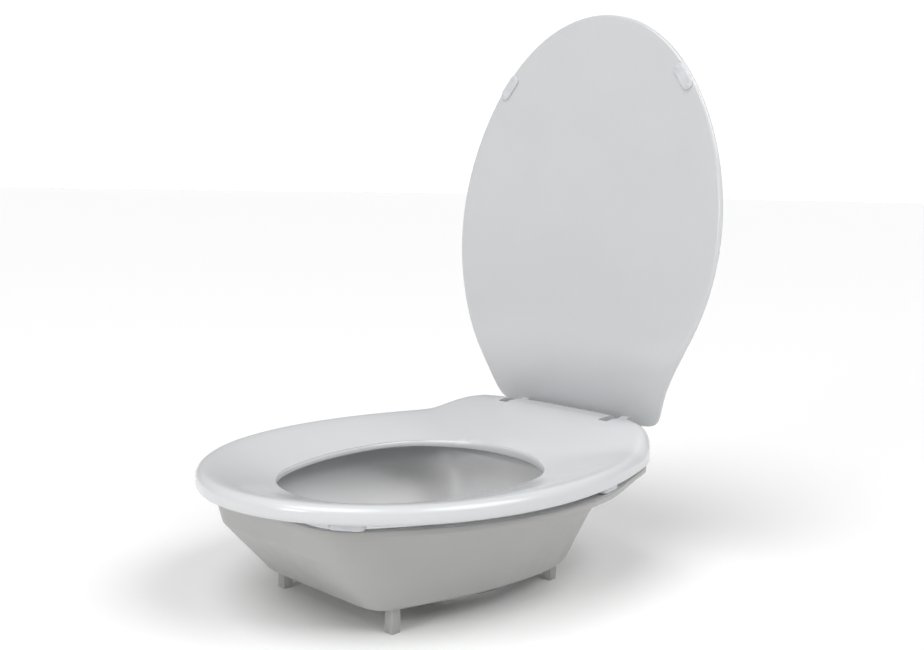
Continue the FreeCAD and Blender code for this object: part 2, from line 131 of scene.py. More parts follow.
def ring_edges(mesh, ring):
    return [mesh.edges.get((ring[i - 1], ring[i])) for i in range(len(ring))]


def next_ring(mesh, ring, places):
    """Extrudes the ring's edges into a band of faces, and moves its new edge to the given places."""
    made = bmesh.ops.extrude_edge_only(mesh, edges=ring_edges(mesh, ring))["geom"]
    new = {item for item in made if isinstance(item, bmesh.types.BMVert)}
    following = [next(edge.other_vert(v) for edge in v.link_edges if edge.other_vert(v) in new) for v in ring]
    for vertex, place in zip(following, places):
        vertex.co = place
    return following


def round_rings(mesh, rings):
    """Bevels loops of edges, given as (ring, radius, segments)."""
    loops = [(ring_edges(mesh, ring), radius, segments) for ring, radius, segments in rings]
    for edges, radius, segments in loops:
        live = [edge for edge in edges if edge.is_valid]
        bmesh.ops.bevel(mesh, geom=live, offset=radius, affect="EDGES", segments=segments,
                        profile=0.5, material=-1, clamp_overlap=True)


def make_piece(name, mesh, body, material, crease_angle=40):
    """Turns a bmesh into a smooth-shaded piece that rides on a body."""
    bmesh.ops.remove_doubles(mesh, verts=mesh.verts, dist=1e-6)
    bmesh.ops.recalc_face_normals(mesh, faces=mesh.faces)
    data = bpy.data.meshes.new(name)
    mesh.to_mesh(data)
    mesh.free()
    data.polygons.foreach_set("use_smooth", [True] * len(data.polygons))
    data.set_sharp_from_angle(angle=math.radians(crease_angle))
    piece = bpy.data.objects.new(name, data)
    bpy.context.scene.collection.objects.link(piece)
    piece.data.materials.append(material)
    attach(piece, body)
    return piece


def effect_group(name, inputs, outputs):
    """An empty shader node group with named sockets, given as (name, kind, default)."""
    group = bpy.data.node_groups.new(name, "ShaderNodeTree")
    for label, kind, default in inputs:
        socket = group.interface.new_socket(label, in_out="INPUT", socket_type=f"NodeSocket{kind}")
        socket.default_value = default
    for label, kind in outputs:
        group.interface.new_socket(label, in_out="OUTPUT", socket_type=f"NodeSocket{kind}")
    return group, group.nodes.new("NodeGroupInput"), group.nodes.new("NodeGroupOutput")


def node(tree, kind, **settings):
    """A new node, with its attributes and, by name, its input values set."""
    made = tree.nodes.new(kind)
    for key, value in settings.items():
        if hasattr(made, key):
            setattr(made, key, value)
        else:
            made.inputs[key.replace("_", " ")].default_value = value
    return made


def build_moulded_group():
    """Moulded plastic: cloudy tint, fine spark-eroded grain, rubbed patches and hairline scuffs."""
    group, given, out = effect_group(
        "moulded_surface",
        [("Colour", "Color", (0.5, 0.5, 0.5, 1)), ("Cloud Colour", "Color", (0.4, 0.4, 0.4, 1)),
         ("Cloud Scale", "Float", 9.0), ("Grain Scale", "Float", 900.0), ("Gloss Low", "Float", 0.3),
         ("Gloss High", "Float", 0.45), ("Scuffs", "Float", 0.3)],
        [("Colour", "Color"), ("Roughness", "Float"), ("Height", "Float")])
    link = group.links.new
    place = node(group, "ShaderNodeTexCoord").outputs["Object"]
    cloud = node(group, "ShaderNodeTexNoise", Detail=4.0, Roughness=0.55)
    grain = node(group, "ShaderNodeTexNoise", Detail=2.0, Roughness=0.6)
    patches = node(group, "ShaderNodeTexNoise", Scale=34.0, Detail=5.0, Roughness=0.65)
    stretch = node(group, "ShaderNodeMapping")
    stretch.inputs["Scale"].default_value = (40, 320, 210)
    stretch.inputs["Rotation"].default_value = (0.4, 0.2, 0.7)
    scratches = node(group, "ShaderNodeTexNoise", Scale=1.0, Detail=3.0, Distortion=0.6)
    thin = node(group, "ShaderNodeMapRange", From_Min=0.66, From_Max=0.72)
    worn = node(group, "ShaderNodeMath", operation="MULTIPLY")
    shade = node(group, "ShaderNodeMix", data_type="RGBA")
    soften = node(group, "ShaderNodeMapRange", From_Min=0.32, From_Max=0.68)
    gloss = node(group, "ShaderNodeMapRange", From_Min=0.3, From_Max=0.7)
    dull = node(group, "ShaderNodeMath", operation="MULTIPLY_ADD")
    dull.inputs[1].default_value = 0.18
    ridge = node(group, "ShaderNodeMath", operation="MULTIPLY_ADD")
    ridge.inputs[1].default_value = -1.5
    for texture in (cloud, grain, patches):
        link(place, texture.inputs["Vector"])
    link(place, stretch.inputs["Vector"])
    link(stretch.outputs["Vector"], scratches.inputs["Vector"])
    link(given.outputs["Cloud Scale"], cloud.inputs["Scale"])
    link(given.outputs["Grain Scale"], grain.inputs["Scale"])
    link(cloud.outputs["Fac"], soften.inputs["Value"])
    link(soften.outputs["Result"], shade.inputs["Factor"])
    link(given.outputs["Colour"], shade.inputs[6])
    link(given.outputs["Cloud Colour"], shade.inputs[7])
    link(shade.outputs[2], out.inputs["Colour"])
    link(scratches.outputs["Fac"], thin.inputs["Value"])
    link(thin.outputs["Result"], worn.inputs[0])
    link(given.outputs["Scuffs"], worn.inputs[1])
    link(patches.outputs["Fac"], gloss.inputs["Value"])
    link(given.outputs["Gloss Low"], gloss.inputs["To Min"])
    link(given.outputs["Gloss High"], gloss.inputs["To Max"])
    link(worn.outputs[0], dull.inputs[0])
    link(gloss.outputs["Result"], dull.inputs[2])
    link(dull.outputs[0], out.inputs["Roughness"])
    link(worn.outputs[0], ridge.inputs[0])
    link(grain.outputs["Fac"], ridge.inputs[2])
    link(ridge.outputs[0], out.inputs["Height"])
    return group


moulded_surface = build_moulded_group()


def moulded_plastic(name, colour, cloud_colour, gloss, grain_depth, scuffs=0.3, cloud_scale=9.0,
                    grain_scale=900.0, coat=0.0, translucent=0.0):
    """A plastic with the moulded surface on it; gloss is its lowest and highest roughness."""
    material = bpy.data.materials.new(name)
    material.use_nodes = True
    tree = material.node_tree
    shader = tree.nodes["Principled BSDF"]
    surface = node(tree, "ShaderNodeGroup", node_tree=moulded_surface)
    surface.inputs["Colour"].default_value = (*colour, 1)
    surface.inputs["Cloud Colour"].default_value = (*cloud_colour, 1)
    surface.inputs["Cloud Scale"].default_value = cloud_scale
    surface.inputs["Grain Scale"].default_value = grain_scale
    surface.inputs["Gloss Low"].default_value, surface.inputs["Gloss High"].default_value = gloss
    surface.inputs["Scuffs"].default_value = scuffs
    bump = node(tree, "ShaderNodeBump", Strength=0.35)
    bump.inputs["Distance"].default_value = grain_depth
    tree.links.new(surface.outputs["Colour"], shader.inputs["Base Color"])
    tree.links.new(surface.outputs["Roughness"], shader.inputs["Roughness"])
    tree.links.new(surface.outputs["Height"], bump.inputs["Height"])
    tree.links.new(bump.outputs["Normal"], shader.inputs["Normal"])
    shader.inputs["IOR"].default_value = 1.49
    shader.inputs["Coat Weight"].default_value = coat
    shader.inputs["Coat Roughness"].default_value = 0.08
    shader.inputs["Subsurface Weight"].default_value = translucent
    shader.inputs["Subsurface Radius"].default_value = (0.004, 0.004, 0.0036)
    return material


def paint_light_inside(material, colour):
    """Paints light on the faces that look towards the tub's middle: a lighter tint of the same plastic stands
    in for the light that fills the tub.
    """
    tree = material.node_tree
    shader, place = tree.nodes["Principled BSDF"], node(tree, "ShaderNodeTexCoord")
    outside = shader.inputs["Base Color"].links[0].from_socket
    inward = node(tree, "ShaderNodeVectorMath", operation="MULTIPLY_ADD")
    inward.inputs[1].default_value, inward.inputs[2].default_value = (-10, -10, 0), (0, 0, 1)
    facing = node(tree, "ShaderNodeVectorMath", operation="DOT_PRODUCT")
    share = node(tree, "ShaderNodeMapRange", From_Min=0.1, From_Max=0.5)
    painted_light_mottle = node(tree, "ShaderNodeTexNoise", Scale=26.0, Detail=3.0)
    painted_light_tint = node(tree, "ShaderNodeMix", data_type="RGBA")
    painted_light_tint.inputs[6].default_value = (*colour, 1)
    painted_light_tint.inputs[7].default_value = (*[value * 0.95 for value in colour], 1)
    tint = node(tree, "ShaderNodeMix", data_type="RGBA")
    tree.links.new(place.outputs["Object"], inward.inputs[0])
    tree.links.new(inward.outputs["Vector"], facing.inputs[0])
    tree.links.new(place.outputs["Normal"], facing.inputs[1])
    tree.links.new(facing.outputs["Value"], share.inputs["Value"])
    tree.links.new(place.outputs["Object"], painted_light_mottle.inputs["Vector"])
    tree.links.new(painted_light_mottle.outputs["Fac"], painted_light_tint.inputs["Factor"])
    tree.links.new(share.outputs["Result"], tint.inputs["Factor"])
    tree.links.new(outside, tint.inputs[6])
    tree.links.new(painted_light_tint.outputs[2], tint.inputs[7])
    tree.links.new(tint.outputs[2], shader.inputs["Base Color"])


pan_plastic = moulded_plastic("pan_plastic", (0.400, 0.398, 0.386), (0.376, 0.375, 0.366),
                              gloss=(0.30, 0.42), grain_depth=0.00006)
# Painted light: the tub's inside gets a lighter tint than its outside, in place of the light that fills it.
paint_light_inside(pan_plastic, (0.68, 0.68, 0.685))


def build_pan():
    mesh = bmesh.new()
    flange, mouth = closed_outline(flange_outline), closed_outline(mouth_outline)
    crease, floor = closed_outline(crease_outline), closed_outline(floor_outline)
    low, high = pan_floor, pan_top
    under_flange = high - pan_wall
    hole = [outlet_centre + (p - outlet_centre).normalized() * outlet_radius for p in floor]
    bend = [a.lerp(b, bend_share)
            for a, b in zip(moved_in(mouth, pan_wall + bend_inset), moved_in(crease, pan_wall))]
    lip, lip_foot = moved_in(flange, flange_lip_width), high - flange_lip_depth
    root = first_ring(mesh, at_height(lip, under_flange))
    ring = next_ring(mesh, root, at_height(lip, lip_foot))
    ring = flange_low = next_ring(mesh, ring, at_height(flange, lip_foot))
    ring = flange_high = next_ring(mesh, ring, at_height(flange, high))
    ring = mouth_edge = next_ring(mesh, ring, at_height(moved_in(mouth, pan_wall), high))
    shoulder_line = moved_in(mouth, pan_wall + shoulder_inset)
    ring = shoulder = next_ring(mesh, ring, at_height(shoulder_line, shoulder_height))
    ring = next_ring(mesh, ring, at_height(bend, bend_height))
    ring = inner_crease = next_ring(mesh, ring, at_height(moved_in(crease, pan_wall), pan_crease_height))
    ring = inner_floor = next_ring(mesh, ring, at_height(moved_in(floor, pan_wall), low + pan_wall))
    ring = hole_high = next_ring(mesh, ring, at_height(hole, low + pan_wall))
    ring = hole_low = next_ring(mesh, ring, at_height(hole, low))
    ring = outer_floor = next_ring(mesh, ring, at_height(floor, low))
    ring = outer_crease = next_ring(mesh, ring, at_height(crease, pan_crease_height))
    ring = wall_top = next_ring(mesh, ring, at_height(mouth, under_flange))
    bmesh.ops.bridge_loops(mesh, edges=ring_edges(mesh, ring) + ring_edges(mesh, root))
    round_rings(mesh, [(flange_low, 0.0007, 2), (flange_high, 0.0012, 3), (mouth_edge, 0.003, 3),
                       (shoulder, 0.0015, 2), (inner_crease, 0.004, 4), (inner_floor, 0.008, 5),
                       (hole_high, 0.0012, 2), (hole_low, 0.0008, 2), (outer_floor, 0.004, 5),
                       (outer_crease, 0.002, 3), (wall_top, 0.0006, 2)])
    return make_piece("pan_tub", mesh, "pan_body", pan_plastic)


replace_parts(build_pan(), "pan")

# ---------------------------------------------------------------- outlet collar
# A round skirt of the same grey plastic, welded under the pan's floor, that steers into the bowl below.
# It is a thin wall with a rounded foot, and its top turns in to the outlet.
collar_low, collar_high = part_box("outlet_collar")
collar_radius = (collar_high.x - collar_low.x) / 2
collar_wall = 0.004
collar_taper = 0.0015


def build_collar():
    mesh = bmesh.new()
    segments, low, high = 128, collar_low.z, collar_high.z
    profile = [(outlet_radius, high - collar_wall), (collar_radius - collar_wall, high - collar_wall),
               (collar_radius - collar_wall, low), (collar_radius, low),
               (collar_radius - collar_taper, high - 0.002),
               (collar_radius - collar_taper, high), (outlet_radius, high)]

    def circle(radius, height):
        turns = [2 * math.pi * i / segments for i in range(segments)]
        x, y = outlet_centre
        return [Vector((x + radius * math.cos(a), y + radius * math.sin(a), height)) for a in turns]

    rings = [first_ring(mesh, circle(*profile[0]))]
    for radius, height in profile[1:]:
        rings.append(next_ring(mesh, rings[-1], circle(radius, height)))
    bmesh.ops.bridge_loops(mesh, edges=ring_edges(mesh, rings[-1]) + ring_edges(mesh, rings[0]))
    round_rings(mesh, [(rings[1], 0.002, 3), (rings[2], 0.0016, 3), (rings[3], 0.0016, 3)])
    return make_piece("collar_skirt", mesh, "pan_body", pan_plastic)


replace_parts(build_collar(), "outlet_collar")

# ---------------------------------------------------------------- legs
# Four square posts of the pan's plastic, each drawn tight against the floor by a screw from inside.
# Their long edges are rounded, and their feet have a small bevel where they wear.
leg_round, foot_bevel = 0.0015, 0.0006


def build_leg(where):
    low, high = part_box("leg_" + where)
    mesh = bmesh.new()
    bmesh.ops.create_cube(mesh, size=1)
    bmesh.ops.scale(mesh, vec=high - low, verts=mesh.verts)
    bmesh.ops.translate(mesh, vec=(low + high) / 2, verts=mesh.verts)
    upright = [e for e in mesh.edges if abs(e.verts[0].co.z - e.verts[1].co.z) > leg_round]
    bmesh.ops.bevel(mesh, geom=upright, offset=leg_round, affect="EDGES", segments=4,
                    profile=0.5, material=-1)
    foot = [e for e in mesh.edges if all(v.co.z < low.z + leg_round / 2 for v in e.verts)]
    bmesh.ops.bevel(mesh, geom=foot, offset=foot_bevel, affect="EDGES", segments=2,
                    profile=0.5, material=-1)
    piece = make_piece(f"leg_{where}_post", mesh, "pan_body", pan_plastic)
    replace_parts(piece, "leg_" + where)


for where in ("front_left", "front_right", "rear_left", "rear_right"):
    build_leg(where)

# ---------------------------------------------------------------- seat
# A dished ring of glossy white polypropylene with a rolled rim and lip, hollow below.
# Its rear rises in a broad wing that covers the hinges; ribs inside the wing turn on the hinge pins.
seat_low, seat_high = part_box("seat")
rim_low = 0.118
lip_low = seat_low.z
crest_height = 0.134
lip_height = 0.1165
wing_height = seat_high.z
wing_foot, wing_brow = 0.095, 0.190
wing_foot_height, wing_front_slope = 0.114, 0.45
wing_start, wing_spread = 0.085, 0.09
seat_wall = 0.004
rim_width = 0.028
rim_inset, rim_drop, wing_rounding = 0.0075, 0.0072, 0.0055
lip_width = 0.006
hinge_line = Vector((0, 0.191, 0.136))
hinge_side = 0.072
pin_bore_radius = 0.00305
tail_cut_front, tail_cut_top = 0.207, 0.1235
block_notch_front, block_notch_half = 0.1975, 0.0175
ear_slot_half = 0.0062
rib_near, rib_far = 0.017, 0.023

seat_outline = [(0, -.247), (.055, -.236), (.100, -.210), (.135, -.174), (.162, -.130), (.180, -.072),
                (.185, -.015), (.181, .040), (.169, .092), (.152, .143), (.139, .168), (.121, .188),
                (.095, .204), (.048, .213), (0, .213)]
opening_outline = [(0, -.170), (.027, -.166), (.050, -.155), (.070, -.137), (.086, -.111), (.100, -.070),
                   (.107, -.030), (.1075, .010), (.101, .040), (.089, .062), (.073, .077), (.055, .089),
                   (.036, .0965), (.018, .100), (0, .101)]

seat_plastic = moulded_plastic("seat_plastic", (0.600, 0.613, 0.625), (0.583, 0.595, 0.609),
                               gloss=(0.15, 0.24), grain_depth=0.00002, scuffs=0.22, grain_scale=260.0,
                               coat=0.2)


def smooth_step(value):
    value = min(max(value, 0.0), 1.0)
    return value * value * (3 - 2 * value)


def wing_surface(y):
    """Height of the wing's top at a distance towards the rear, falling away in front of its foot."""
    along = (y - wing_foot) / (wing_brow - wing_foot)
    if along < 0:
        return wing_foot_height + wing_front_slope * (y - wing_foot)
    eased = (smooth_step(along) + math.sin(math.pi / 2 * min(along, 1))) / 2
    return wing_foot_height + (wing_height - wing_foot_height) * eased


def higher_of(a, b, blend=0.006):
    """The higher of two heights, with a soft fillet between them."""
    return (a + b + math.hypot(a - b, blend)) / 2


def seat_top(crest, mouth, share):
    """A point on the seat's top, at a share of the way from crest to opening."""
    point = crest.lerp(mouth, share)
    fall = share * share * 1.15 / (share + 0.15)
    dish = crest_height + (lip_height - crest_height) * fall
    return Vector((point.x, point.y, min(higher_of(dish, wing_surface(point.y)), wing_height)))


def build_seat():
    mesh = bmesh.new()
    edge, mouth = closed_outline(seat_outline, 8), closed_outline(opening_outline, 8)
    wing_share = [smooth_step((p.y - wing_start) / wing_spread) for p in edge]
    crest_inset = [rim_inset + wing_rounding * share for share in wing_share]
    inward = [b - a for a, b in zip(edge, moved_in(edge, 1.0))]
    crest = [p + d * inset for p, d, inset in zip(edge, inward, crest_inset)]
    crest_z = [seat_top(c, m, 0).z for c, m in zip(crest, mouth)]

    def rim_ring(turn):
        """A ring on the quarter-round from the rim's side, at 0, to its crest, at 1."""
        places = []
        for p, d, inset, top, share in zip(edge, inward, crest_inset, crest_z, wing_share):
            angle = turn * math.pi / 2
            drop = rim_drop + wing_rounding * share
            across = inset * (1 - math.cos(angle)) ** 0.9
            height = top - drop * (1 - math.sin(angle))
            places.append(Vector((*(p + d * across), height)))
        return places

    def side_ring(inset, height):
        return [Vector((*(p + d * inset), height)) for p, d in zip(edge, inward)]

    ring = start = first_ring(mesh, side_ring(0.0035, rim_low))
    for inset, rise in ((0.0022, 0.0002), (0.0010, 0.0009), (0.0003, 0.0020), (0.0, 0.0034)):
        ring = next_ring(mesh, ring, side_ring(inset, rim_low + rise))
    for turn in [i / 9 for i in range(10)]:
        ring = next_ring(mesh, ring, rim_ring(turn))
    for share in [i / 18 for i in range(1, 19)]:
        reach = share * 0.985
        ring = next_ring(mesh, ring, [seat_top(c, m, reach) for c, m in zip(crest, mouth)])
    out = [a - b for a, b in zip(mouth, moved_in(mouth, 1.0))]
    brink = [seat_top(c, m, 1).z for c, m in zip(crest, mouth)]
    lip_round = 0.0032
    for turn in [i / 5 for i in range(1, 6)]:
        angle = turn * math.pi / 2
        places = []
        for m, o, top in zip(mouth, out, brink):
            across = lip_round * (1 - math.sin(angle))
            places.append(Vector((*(m + o * across * 0.6), top - lip_round * (1 - math.cos(angle)))))
        ring = next_ring(mesh, ring, places)
    for across, rise in ((0, 0.0008), (0.0008, 0), (lip_width - 0.0008, 0), (lip_width, 0.0008)):
        places = [Vector((*(m + o * across), lip_low + rise)) for m, o in zip(mouth, out)]
        ring = next_ring(mesh, ring, places)
    hollow_inset = [rim_width + (seat_wall + 0.001 - rim_width) * share for share in wing_share]
    hollow_edge = [p + d * inset for p, d, inset in zip(edge, inward, hollow_inset)]
    inner_mouth = [m + o * lip_width for m, o in zip(mouth, out)]
    for share in [1 - i / 14 for i in range(15)]:
        places = []
        for h, i, c, m in zip(hollow_edge, inner_mouth, crest, mouth):
            point = h.lerp(i, share)
            nearer = min(max((point - c).length / max((m - c).length, 1e-6), 0), 1)
            height = seat_top(c, m, nearer).z - seat_wall
            places.append(Vector((point.x, point.y, max(height - 0.004 * (1 - share) ** 6, lip_low + 0.001))))
        ring = next_ring(mesh, ring, places)
    ring = next_ring(mesh, ring, at_height(hollow_edge, rim_low))
    bmesh.ops.bridge_loops(mesh, edges=ring_edges(mesh, ring) + ring_edges(mesh, start))
    return mesh


def add_box(mesh, low, high):
    """A closed box between two corners."""
    made = bmesh.ops.create_cube(mesh, size=1)["verts"]
    bmesh.ops.scale(mesh, vec=Vector(high) - Vector(low), verts=made)
    bmesh.ops.translate(mesh, vec=(Vector(low) + Vector(high)) / 2, verts=made)
    return made


def combined(mesh, *changes):
    """The mesh after exact booleans with other meshes, given as (operation, mesh)."""
    def linked(name, source):
        bmesh.ops.recalc_face_normals(source, faces=source.faces)
        data = bpy.data.meshes.new(name)
        source.to_mesh(data)
        source.free()
        thing = bpy.data.objects.new(name, data)
        bpy.context.scene.collection.objects.link(thing)
        return thing

    base = linked("boolean_base", mesh)
    others = []
    for operation, other in changes:
        others.append(linked("boolean_other", other))
        change = base.modifiers.new("change", "BOOLEAN")
        change.operation, change.object, change.solver = operation, others[-1], "EXACT"
    bpy.context.view_layer.update()
    result = bmesh.new()
    finished = base.evaluated_get(bpy.context.evaluated_depsgraph_get())
    result.from_mesh(finished.data)
    for thing in [base] + others:
        bpy.data.objects.remove(thing)
    return result


def box_solid(low, high):
    mesh = bmesh.new()
    add_box(mesh, low, high)
    return mesh


def rod_solid(radius, low_x, high_x):
    """A closed cylinder along the hinge line."""
    mesh = bmesh.new()
    middle = Matrix.Translation(((low_x + high_x) / 2, hinge_line.y, hinge_line.z))
    bmesh.ops.create_cone(mesh, cap_ends=True, segments=48, radius1=radius, radius2=radius,
                          depth=high_x - low_x, matrix=middle @ Matrix.Rotation(math.pi / 2, 4, "Y"))
    return mesh


def build_seat_with_hinges():
    behind, y, z = 0.240, hinge_line.y, hinge_line.z
    changes = [("DIFFERENCE",
                box_solid((-0.22, tail_cut_front, 0.100), (0.22, behind, tail_cut_top)))]
    for side in (-hinge_side, hinge_side):
        for low, high in ((-rib_far, -rib_near), (rib_near, rib_far)):
            rib = box_solid((side + low, y - 0.008, z - 0.006),
                            (side + high, y + 0.008, wing_height - 0.0038))
            changes.append(("UNION", rib))
        notch = box_solid((side - block_notch_half, block_notch_front, 0.100),
                          (side + block_notch_half, behind, wing_height - seat_wall))
        ear_slot = box_solid((side - ear_slot_half, y - 0.016, 0.118), (side + ear_slot_half, behind, 0.170))
        bore = rod_solid(pin_bore_radius, side - 0.024, side + 0.024)
        changes += [("DIFFERENCE", notch), ("DIFFERENCE", ear_slot), ("DIFFERENCE", bore)]
    mesh = combined(build_seat(), *changes)
    return make_piece("seat_shell", mesh, "seat_body", seat_plastic, crease_angle=50)


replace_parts(build_seat_with_hinges(), "seat")

# ---------------------------------------------------------------- bumpers
# Oblong pads of soft, milky plastic pressed into the underside of the seat and the inside of the lid.
# They keep the two apart and stop the seat from rattling on the flange.
bumper_plastic = moulded_plastic("bumper_plastic", (0.64, 0.648, 0.668), (0.58, 0.588, 0.615),
                                 gloss=(0.28, 0.42), grain_depth=0.00004, scuffs=0.5, cloud_scale=60.0,
                                 translucent=0.3)
bumper_length, bumper_width = 0.032, 0.013


def build_bumper(name, body, height, place, nub=0.0):
    """Stadium-shaped pad, made on the XY plane and then put in place; a nub height adds two nubs."""
    mesh = bmesh.new()
    straight, radius, half_turn = (bumper_length - bumper_width) / 2, bumper_width / 2, 12
    outline = []
    for sign in (1, -1):
        for i in range(half_turn + 1):
            angle = math.pi * (i / half_turn - 0.5)
            across, along = straight + radius * math.cos(angle), radius * math.sin(angle)
            outline.append(Vector((sign * across, sign * along)))
    foot = first_ring(mesh, at_height(outline, 0))
    brow = next_ring(mesh, foot, at_height(outline, height))
    inner = next_ring(mesh, brow, at_height(moved_in(outline, 0.004), height + 0.0002))
    bmesh.ops.edgeloop_fill(mesh, edges=ring_edges(mesh, inner))
    bmesh.ops.edgeloop_fill(mesh, edges=ring_edges(mesh, foot))
    round_rings(mesh, [(brow, min(0.0022, height * 0.7), 4)])
    for sign in (1, -1) if nub else ():
        dome = bmesh.new()
        bmesh.ops.create_uvsphere(dome, u_segments=24, v_segments=16, radius=1)
        bmesh.ops.scale(dome, vec=(0.0030, 0.0034, nub * 2), verts=dome.verts)
        bmesh.ops.translate(dome, vec=(sign * (straight + 0.0015), 0, height - nub), verts=dome.verts)
        mesh = combined(mesh, ("UNION", dome))
    bmesh.ops.transform(mesh, matrix=place, verts=mesh.verts)
    piece = make_piece(name + "_pad", mesh, body, bumper_plastic)
    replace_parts(piece, name)


def centre_of(name):
    low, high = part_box(name)
    return (low + high) / 2


for where, turn in (("front", 38), ("rear", -75)):
    for side, sign in (("left", -1), ("right", 1)):
        name = f"seat_bumper_{where}_{side}"
        low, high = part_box(name)
        spot = Matrix.Translation((centre_of(name).x, centre_of(name).y, high.z))
        flipped = Matrix.Rotation(math.radians(sign * turn), 4, "Z") @ Matrix.Rotation(math.pi, 4, "X")
        build_bumper(name, "seat_body", high.z - low.z, spot @ flipped)

# ---------------------------------------------------------------- lid
# A thin oval panel of the seat's white plastic; its hinge end bends back and narrows.
# Two ears moulded on its rear edge reach through the wing to the hinge pins.
lid_lean = math.radians(5.6)
lid_foot = Vector((0, 0.193, 0.1433))
lid_thickness = 0.006
lid_bend, lid_bend_length = 0.026, 0.092
ear_half_width, ear_boss = 0.005, 0.006
lid_bumper_x, lid_bumper_y, lid_bumper_turn = 0.120, 0.366, 53
lid_bumper_height, lid_bumper_nub = 0.0023, 0.0006
lid_place = Matrix.Translation(lid_foot) @ Matrix.Rotation(math.pi / 2 - lid_lean, 4, "X")
lid_outline = [(0, -.0005), (.036, -.0005), (.070, -.0005), (.094, 0), (.109, .005), (.118, .018),
               (.129, .044), (.148, .079), (.164, .115), (.176, .156), (.181, .210), (.173, .270),
               (.152, .328), (.118, .381), (.067, .423), (0, .440)]


def lid_surface(point, depth):
    """A point of the panel's own plane, moved back by the bend and a depth, in the frame of the object."""
    left = max(0.0, 1 - point.y / lid_bend_length)
    return lid_place @ Vector((point.x, point.y, -lid_bend * left ** 2 - depth))


def build_lid():
    mesh = bmesh.new()
    outline = closed_outline(lid_outline, 8)
    middle = Vector((0, 0.215))
    half = lid_thickness / 2

    def shrunk(share, depth):
        return [lid_surface(middle + (p - middle) * share, depth) for p in outline]

    def edge_ring(turn):
        """A ring on the half-round edge, from the inner face at 0 to the outer face at 1."""
        angle = math.pi * turn
        inset = moved_in(outline, half * (1 - math.sin(angle)))
        return [lid_surface(p, half * (1 - math.cos(angle))) for p in inset]

    shares = [0.02, 0.2, 0.4, 0.6, 0.75, 0.86, 0.94]
    inner = ring = first_ring(mesh, shrunk(shares[0], 0))
    for share in shares[1:]:
        ring = next_ring(mesh, ring, shrunk(share, 0))
    for step in range(11):
        ring = next_ring(mesh, ring, edge_ring(step / 10))
    for share in reversed(shares):
        ring = next_ring(mesh, ring, shrunk(share, lid_thickness))
    bmesh.ops.edgeloop_fill(mesh, edges=ring_edges(mesh, ring))
    bmesh.ops.edgeloop_fill(mesh, edges=ring_edges(mesh, inner))
    return mesh


def ear_arm(x, half_width, boss):
    """The arm from a pin's boss, up and back to the lid's rear edge."""
    y, z = hinge_line.y, hinge_line.z
    mesh = bmesh.new()
    arm = add_box(mesh, (x - half_width, y, z - boss + 0.0008), (x + half_width, y + 0.030, z + boss))
    for vertex in arm:
        if vertex.co.y > y + 0.01:
            vertex.co.z += 0.0085 if vertex.co.z > z else 0.0130
    return mesh


def build_lid_with_ears():
    half, boss, changes = ear_half_width, ear_boss, []
    for side in (-hinge_side, hinge_side):
        changes += [("UNION", rod_solid(boss, side - half, side + half)),
                    ("UNION", ear_arm(side, half, boss)),
                    ("DIFFERENCE", rod_solid(pin_bore_radius, side - half - 0.001, side + half + 0.001))]
    mesh = combined(build_lid(), *changes)
    return make_piece("lid_panel", mesh, "lid_body", seat_plastic, crease_angle=50)


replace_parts(build_lid_with_ears(), "lid")

for side, sign in (("left", -1), ("right", 1)):
    spot = lid_place @ Matrix.Translation((sign * lid_bumper_x, lid_bumper_y, 0))
    turned = spot @ Matrix.Rotation(math.radians(-sign * lid_bumper_turn), 4, "Z")
    build_bumper(f"lid_bumper_{side}", "lid_body", lid_bumper_height, turned, nub=lid_bumper_nub)

# ---------------------------------------------------------------- hinge hardware and screws
# Clevis blocks of white nylon carry stainless pins in acetal sleeves and are bolted through the flange.
# Wing nuts with rubber gaskets hold them from below; leg screws sit on rubber washers inside the pan.
hinge_plastic = moulded_plastic("hinge_plastic", (0.72, 0.725, 0.73), (0.69, 0.695, 0.70), gloss=(0.2, 0.32),
                                grain_depth=0.00004)
bush_plastic = moulded_plastic("bush_plastic", (0.62, 0.60, 0.54), (0.56, 0.54, 0.48), gloss=(0.35, 0.5),
                               grain_depth=0.00005, cloud_scale=80.0)
rubber = moulded_plastic("rubber", (0.022, 0.022, 0.024), (0.035, 0.035, 0.036), gloss=(0.55, 0.75),
                         grain_depth=0.00012, grain_scale=1400.0, scuffs=0.6)


def turned_steel():
    """Stainless steel with fine turning marks round each pin and bolt."""
    material = bpy.data.materials.new("turned_steel")
    material.use_nodes = True
    tree = material.node_tree
    shader = tree.nodes["Principled BSDF"]
    shader.inputs["Metallic"].default_value = 1.0
    place = node(tree, "ShaderNodeTexCoord").outputs["Object"]
    marks = node(tree, "ShaderNodeTexNoise", Scale=1.0, Detail=3.0)
    stretch = node(tree, "ShaderNodeMapping")
    stretch.inputs["Scale"].default_value = (2600, 160, 2600)
    stain = node(tree, "ShaderNodeTexNoise", Scale=120.0, Detail=4.0)
    colour = node(tree, "ShaderNodeMix", data_type="RGBA")
    colour.inputs[6].default_value = (0.50, 0.50, 0.51, 1)
    colour.inputs[7].default_value = (0.62, 0.62, 0.62, 1)
    rough = node(tree, "ShaderNodeMapRange", From_Min=0.3, From_Max=0.7, To_Min=0.22, To_Max=0.42)
    bump = node(tree, "ShaderNodeBump", Strength=0.2)
    bump.inputs["Distance"].default_value = 0.00003
    tree.links.new(place, stretch.inputs["Vector"])
    tree.links.new(stretch.outputs["Vector"], marks.inputs["Vector"])
    tree.links.new(place, stain.inputs["Vector"])
    tree.links.new(stain.outputs["Fac"], colour.inputs["Factor"])
    tree.links.new(colour.outputs[2], shader.inputs["Base Color"])
    tree.links.new(marks.outputs["Fac"], rough.inputs["Value"])
    tree.links.new(rough.outputs["Result"], shader.inputs["Roughness"])
    tree.links.new(marks.outputs["Fac"], bump.inputs["Height"])
    tree.links.new(bump.outputs["Normal"], shader.inputs["Normal"])
    return material


